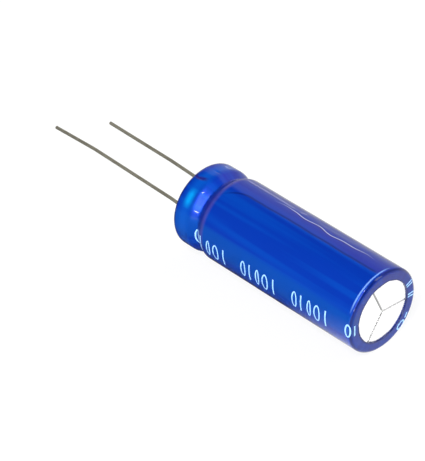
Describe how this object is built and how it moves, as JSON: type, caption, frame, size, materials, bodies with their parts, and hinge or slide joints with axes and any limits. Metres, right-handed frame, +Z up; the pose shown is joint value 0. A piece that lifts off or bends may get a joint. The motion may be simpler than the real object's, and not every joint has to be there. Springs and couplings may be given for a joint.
{
  "type": "supercapacitor",
  "caption": "Cylindrical supercapacitor in a blue shrunk sleeve, with a crimped lead end, a scored vent in the bare closed end and two straight wire leads.",
  "frame": {"origin": "centre of the seating plane, on the can's axis, at the lead end", "axes": "+X along the can's axis towards the closed end; the leads leave towards -X; +Z up with the can lying on its side"},
  "size_m": [0.0651, 0.0128, 0.0128],
  "materials": {
    "sleeve_film": "glossy translucent blue shrunk film",
    "can_aluminium": "bright drawn aluminium",
    "bung_rubber": "matt black moulded rubber",
    "tinned_wire": "dull tinned steel wire",
    "terminal_aluminium": "plain aluminium",
    "winding_paper": "carbon-coated foil and separator rolled together",
    "tape_film": "thin closing tape",
    "print_ink": "pale blue ink printed on the sleeve"
  },
  "bodies": {
    "root": {"sleeve": "sleeve_film", "can": "can_aluminium", "rubber_bung": "bung_rubber", "long_lead": "tinned_wire", "short_lead": "tinned_wire", "positive_terminal": "terminal_aluminium", "negative_terminal": "terminal_aluminium", "winding": "winding_paper", "closing_tape": "tape_film"}
  },
  "joints": []
}
